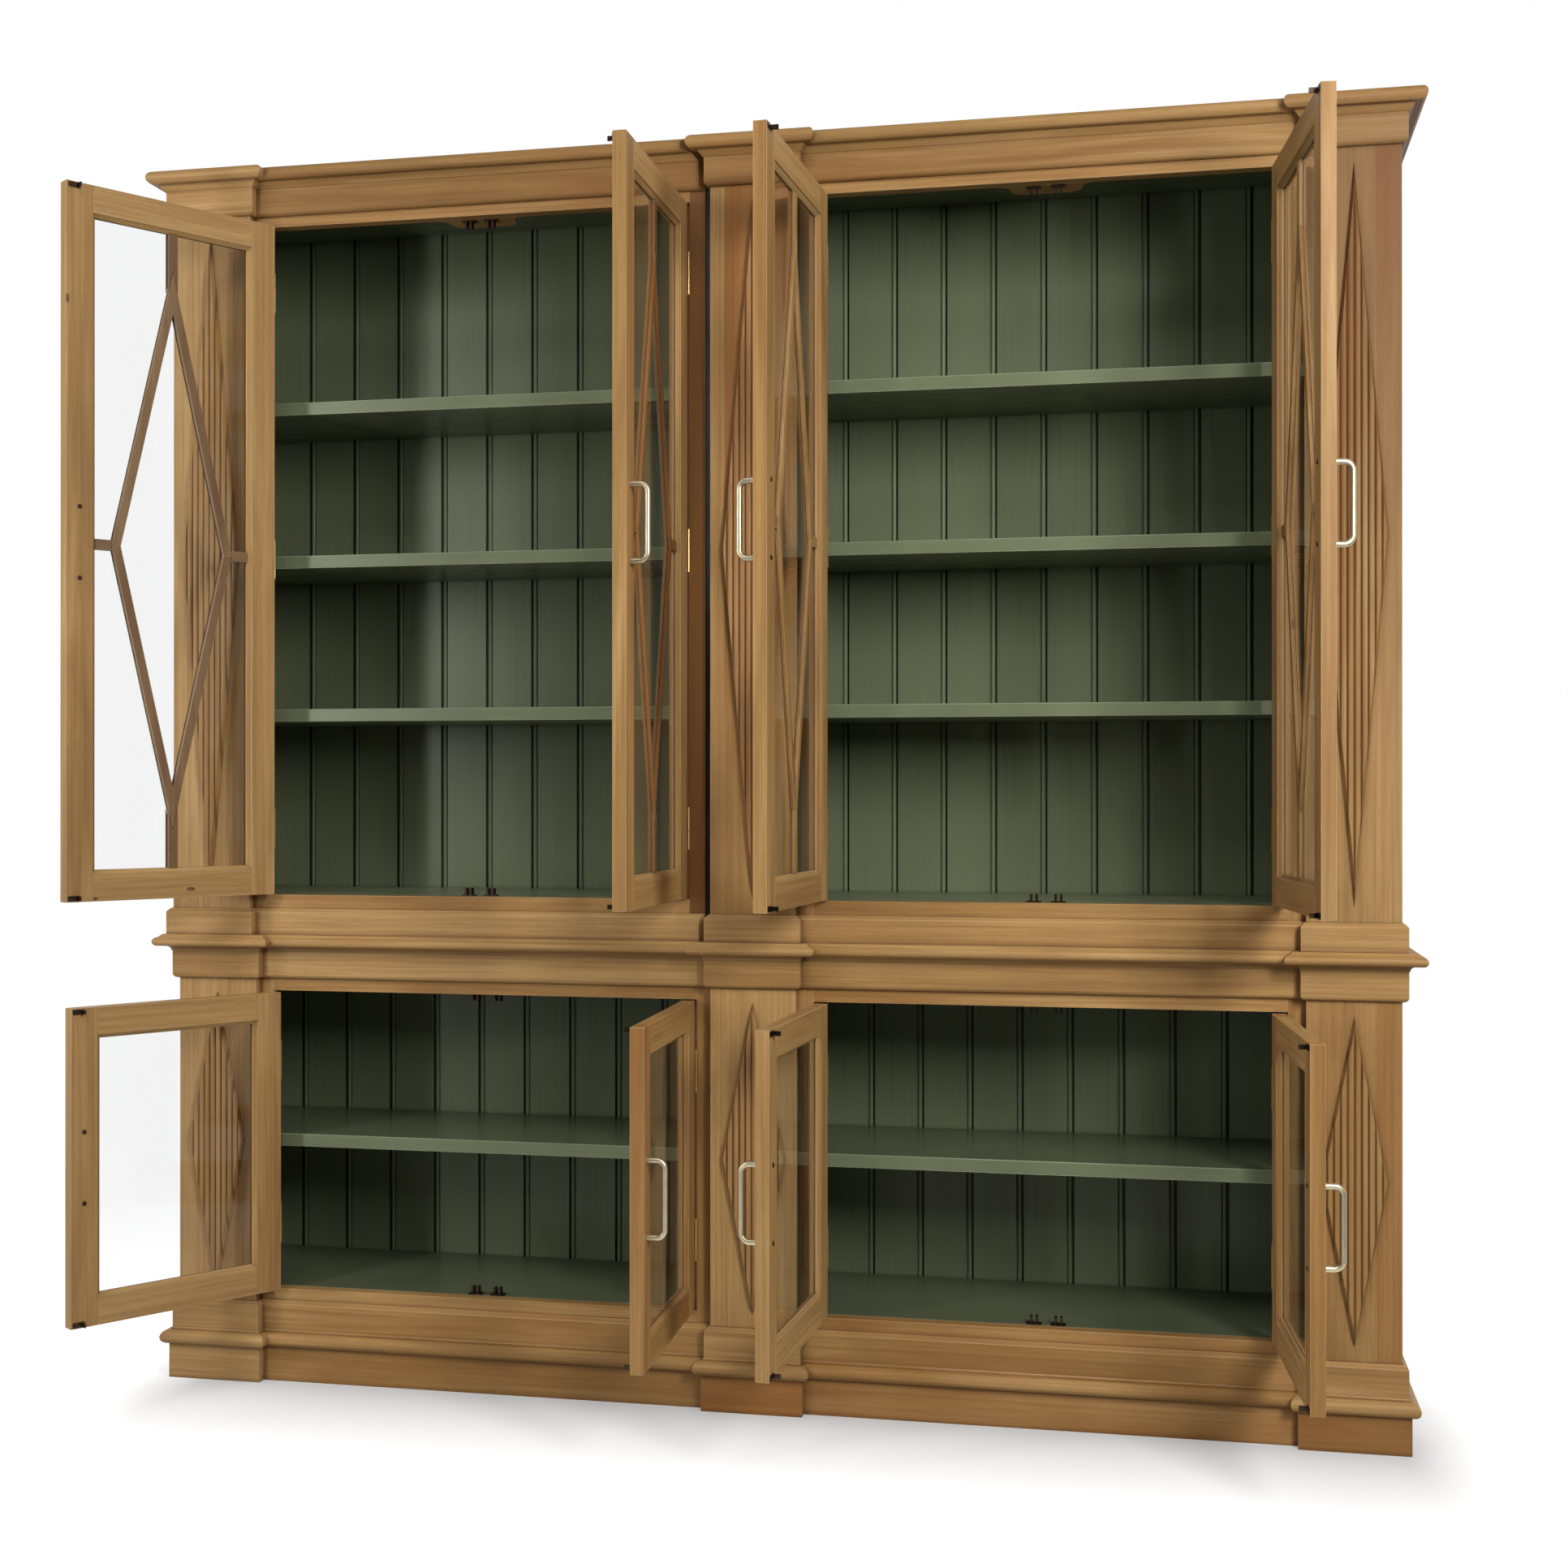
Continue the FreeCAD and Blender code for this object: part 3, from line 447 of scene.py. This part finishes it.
BASE_LIFTS = {"left": 0.9, "middle": 0.35, "right": 0.7}


def storey(centre):
    return "upper" if centre.z > case_high.z else "lower"


def side(centre):
    return "right" if centre.x > END else "left" if centre.x < -END else "middle"


def pilaster_tones(centre, size, own):
    return PILASTER_TONES[storey(centre), side(centre)]


def lozenge_tones(centre, size, own):
    return LOZENGE_TONES[storey(centre), side(centre)]


# The plinth runs and the right block get painted shade
def plinth_tones(centre, size, own):
    return Tone(own - 0.5, shade=0.08) if size.x > RUN_WIDTH else PLINTH_TONES[side(centre)]


def base_tones(centre, size, own):
    if size.x > RUN_WIDTH:
        return Tone(own + (0.3 if centre.x < 0.0 else 0.1))
    return Tone(own + BASE_LIFTS[side(centre)])


# The shade and right_shade values are painted shade
def band_tones(lift, shade, left_lift, right_shade):
    def tones(centre, size, own):
        if side(centre) == "left":
            return Tone(own + left_lift)
        return Tone(own + lift, shade=right_shade if side(centre) == "right" else shade)
    return tones


# Upper door 4 gets painted shade
def door_tones(centre, size, own):
    upper = storey(centre) == "upper"
    lift = 0.6 if size.x > size.z else 0.1
    if centre.x < -LEAVES_MEET:
        lift += 0.3
    elif abs(centre.x) < LEAVES_MEET and not upper:
        lift += 0.4 if centre.x > 0.0 else -0.4
    return Tone(own + lift, shade=0.2 if centre.x > LEAVES_MEET and upper else 0.0)


# The bars of doors 2 to 4 get painted shade
def bar_tones(centre, size, own):
    if centre.x > 0.0:
        return Tone(own, shade=0.1)
    return Tone(-1.0, shade=0.2) if centre.x > -LEAVES_MEET else Tone(own)


# Painted shadow: the stile beside the middle pilaster is darker and redder
def stile_tones(centre, size, own):
    if SHADED_STILE[0] < centre.x < SHADED_STILE[1]:
        return Tone(-1.0, shade=0.55 if storey(centre) == "upper" else 0.35)
    return Tone(own)


# Reeds passed at a place, counted across a lozenge; the grooves lie at whole numbers
LOZENGE_WIDTH, REED_COUNT = 0.116, 10


def lozenge_reeds(place):
    return (place.x / LOZENGE_WIDTH + 0.5) * REED_COUNT


# Wood and paint, with how far each kind of piece is rounded at its edges
MOULDING_EDGE, PILASTER_EDGE, LOZENGE_EDGE, FRAME_EDGE = 0.0007, 0.0010, 0.0006, 0.0009
BOARD_EDGE, CASE_EDGE, SHELF_EDGE, DOOR_EDGE = 0.0006, 0.0010, 0.0016, 0.0010
for name, *shifts in (("lower_frieze", 0.5, 0.0, 0.5, 0.0), ("waist_moulding", 0.7, 0.0, 0.7, 0.0),
                      ("upper_base_blocks", 0.7, 0.0, 1.0, 0.0), ("cornice_frieze", 0.15, 0.26, 0.9, 0.5),
                      ("cornice_moulding", 0.25, 0.14, 0.9, 0.32)):
    dress(name, all_wood, MOULDING_EDGE, band_tones(*shifts))
for name in ("base_skirting", "base_moulding"):
    dress(name, all_wood, MOULDING_EDGE, base_tones)
dress("plinth_boards", all_wood, MOULDING_EDGE, plinth_tones)
for name in ("lower_pilasters", "upper_pilasters"):
    dress(name, all_wood, PILASTER_EDGE, pilaster_tones)
for name in ("lower_lozenges", "upper_lozenges"):
    dress(name, all_wood, LOZENGE_EDGE, lozenge_tones, reeds=lozenge_reeds)
dress("catch_blocks", all_wood, CASE_EDGE)
for name in ("lower_face_frame", "upper_face_frames"):
    dress(name, front_wood, FRAME_EDGE, stile_tones)
for name in ("lower_back_boards", "upper_back_boards"):
    dress(name, rear_wood, BOARD_EDGE, materials=(waxed, green, gap_shade_green))
for name in ("lower_case", "upper_cases"):
    dress(name, case_faces, CASE_EDGE, materials=(waxed, green, painted_shade_green))
dress("lower_shelves", dull_top, SHELF_EDGE, materials=(waxed, green, painted_shade_green))
for name in ("upper_shelves", "shelf_cleats"):
    dress(name, all_green, SHELF_EDGE)
for body in doors:
    dress(body + "_frame", all_wood, DOOR_EDGE, door_tones)
    if body + "_bars" in nodes:
        timber = bar_wood if body == "upper_door_1" else waxed
        dress(body + "_bars", all_wood, LOZENGE_EDGE, bar_tones, (timber,))

# Metal and glass
HINGE, STRIKE = 0, 1
PULL, SCREW = 0, 1
HINGE_REACH, SCREW_HEIGHT = 0.1, 0.02
FITTING_EDGE, PULL_EDGE = 0.0003, 0.0002


def strike_or_hinge(body):
    pivot = Vector(joints[body]["pos_m"])

    def pick(centre, normal, low, high):
        return STRIKE if abs((low.x + high.x) / 2 - pivot.x) > HINGE_REACH else HINGE
    return pick


def pull_or_screw(centre, normal, low, high):
    return SCREW if high.z - low.z < SCREW_HEIGHT else PULL


def plain_look(node, material):
    mesh = nodes[node].data
    mesh.materials.clear()
    mesh.materials.append(material)


plain_look("ball_catches", bronze)
plain_look("hinge_frame_leaves", brass)
for body in doors:
    dress(body + "_fittings", strike_or_hinge(body), FITTING_EDGE, materials=(brass, bronze))
    dress(body + "_pull", pull_or_screw, PULL_EDGE, materials=(pull_metal, bronze))
    plain_look(body + "_glass", clear)

# Stage: a white floor that keeps the object's shadow, gets a painted shadow close to its base, and fades out far
# away.
# The painted shadow lies around a line along the base, and reaches less far sideways than to the front and back
FLOOR_HALF = 30
FLOOR_GREY = (0.38, 0.38, 0.38, 1.0)
WHITE = (1.0, 1.0, 1.0, 1.0)
DIM_MIDDLE, DIM_HALF_WIDTH, DIM_LINE = 0.03, 1.11, -0.2
DIM_SIDE, DIM_FRONT, DIM_BACK, DIM_REACH = 0.14, 0.38, 0.5, 1.25
PAINTED_SHADOW_LIFTS = ((0.0, 0.25), (0.16, 0.42), (0.32, 0.54), (0.48, 0.63), (0.64, 0.71), (0.8, 0.79), (1.0, 0.92))
FADE_REACH = 4.0


def floor_white():
    tree = Tree(bpy.data.materials.new("floor_white"))
    path = tree.add("LightPath").outputs
    seen = tree.math("MAXIMUM", path["Is Camera Ray"],
                     tree.math("MAXIMUM", path["Is Glossy Ray"], path["Is Transmission Ray"]))
    matt = tree.add("BsdfDiffuse", {"Color": FLOOR_GREY})
    place = tree.add("TexCoord").outputs["Object"]
    spot = tree.add("SeparateXYZ", {"Vector": place}).outputs
    sideways = tree.math("ABSOLUTE", tree.math("SUBTRACT", spot["X"], DIM_MIDDLE))
    outer = tree.math("SUBTRACT", sideways, DIM_HALF_WIDTH)
    across = tree.math("DIVIDE", tree.math("MAXIMUM", outer, 0.0), DIM_SIDE)
    before = tree.math("ADD", spot["Y"], -DIM_LINE)
    along = tree.math("MAXIMUM", tree.math("DIVIDE", before, -DIM_FRONT), tree.math("DIVIDE", before, DIM_BACK))
    square = tree.math("ADD", tree.math("MULTIPLY", across, across), tree.math("MULTIPLY", along, along))
    reach = tree.math("DIVIDE", tree.math("SQRT", square), DIM_REACH)
    # Painted shadow: the emission lift is lower close to the base
    glow = tree.math("MULTIPLY", seen, tree.ramp(reach, *PAINTED_SHADOW_LIFTS))
    lift = tree.add("Emission", {"Color": WHITE, "Strength": glow})
    both = tree.add("AddShader", {0: matt.outputs[0], 1: lift.outputs[0]})
    away = tree.add("VectorMath", {0: place}, operation="LENGTH").outputs["Value"]
    fade = tree.ramp(tree.math("DIVIDE", away, FADE_REACH), (0.4, 0.0), (0.65, 1.0))
    gone = tree.add("BsdfTransparent")
    edge = tree.add("MixShader", {0: fade, 1: both.outputs[0], 2: gone.outputs[0]})
    return tree.finish(edge.outputs[0])


floor_mesh = bpy.data.meshes.new("floor")
corners = [(x * FLOOR_HALF, y * FLOOR_HALF, 0) for x, y in ((-1, -1), (1, -1), (1, 1), (-1, 1))]
floor_mesh.from_pydata(corners, [], [(0, 1, 2, 3)])
floor_mesh.materials.append(floor_white())
floor = bpy.data.objects.new("floor", floor_mesh)
bpy.context.scene.collection.objects.link(floor)

# White for the camera and through glass; gloss finds it behind and beside the object, and a dim room in front
ROOM_COLOUR, ROOM_LIGHT = (1.0, 0.99, 0.97, 1.0), 0.04


def white_room():
    tree = Tree(bpy.data.worlds.new("room"), "OutputWorld")
    path = tree.add("LightPath").outputs
    way = tree.add("SeparateXYZ", {"Vector": tree.add("TexCoord").outputs["Generated"]}).outputs["Y"]
    behind = tree.ramp(way, (0.0, 0.0), (0.25, 1.0))
    gloss = tree.math("MULTIPLY", path["Is Glossy Ray"], behind)
    seen = tree.math("MAXIMUM", path["Is Camera Ray"], tree.math("MAXIMUM", path["Is Transmission Ray"], gloss))
    dim = tree.add("Background", {"Color": ROOM_COLOUR, "Strength": ROOM_LIGHT})
    white = tree.add("Background", {"Color": WHITE, "Strength": 1.0})
    both = tree.add("MixShader", {0: seen, 1: dim.outputs[0], 2: white.outputs[0]})
    return tree.finish(both.outputs[0])


bpy.context.scene.world = white_room()


def lamp(name, place, aim, width, height, power):
    light = bpy.data.lights.new(name, "AREA")
    light.shape = "RECTANGLE"
    light.size = width
    light.size_y = height
    light.energy = power
    holder = bpy.data.objects.new(name, light)
    holder.location = place
    holder.rotation_euler = (Vector(aim) - Vector(place)).to_track_quat("-Z", "Y").to_euler()
    bpy.context.scene.collection.objects.link(holder)


lamp("right_softbox", (2.15, -2.6, 2.3), (0.3, 0.0, 1.2), width=0.7, height=1.5, power=100.0)
lamp("left_softbox", (-1.86, -2.1, 2.0), (-0.3, 0.0, 1.2), width=0.3, height=1.5, power=19.0)
lamp("top_softbox", (0.1, -3.2, 4.6), (0.1, 0.0, 1.0), width=3.0, height=1.5, power=54.0)
lamp("left_strip", (-2.66, -3.73, 1.0), (-0.7, 0.2, 0.8), width=0.16, height=1.5, power=19.0)
lamp("left_side_softbox", (-3.2, -1.2, 1.3), (-0.9, -0.2, 1.1), width=0.6, height=1.8, power=26.0)
lamp("back_softbox", (-0.6, 3.6, 2.6), (0.0, 0.2, 1.1), width=3.0, height=1.5, power=70.0)

# Camera at the photograph's viewing angle, with its focal length and middle in pixels of the 1932 by 1932 frame
PHOTO = 1932
FOCAL_LENGTH = 2423.1
MIDDLE_X, MIDDLE_Y = 950.4, 968.8
PITCH, YAW = 90.1, 11.5
camera = bpy.data.cameras.new("camera")
camera.sensor_fit = "HORIZONTAL"
camera.sensor_width = 36.0
camera.lens = FOCAL_LENGTH * camera.sensor_width / PHOTO
camera.shift_x = (PHOTO / 2 - MIDDLE_X) / PHOTO
camera.shift_y = (MIDDLE_Y - PHOTO / 2) / PHOTO
eye = bpy.data.objects.new("camera", camera)
eye.location = (0.7529, -3.7255, 1.1410)
eye.rotation_euler = (math.radians(PITCH), 0.0, math.radians(YAW))
bpy.context.scene.collection.objects.link(eye)
bpy.context.scene.camera = eye

bpy.context.scene.view_settings.view_transform = "Standard"
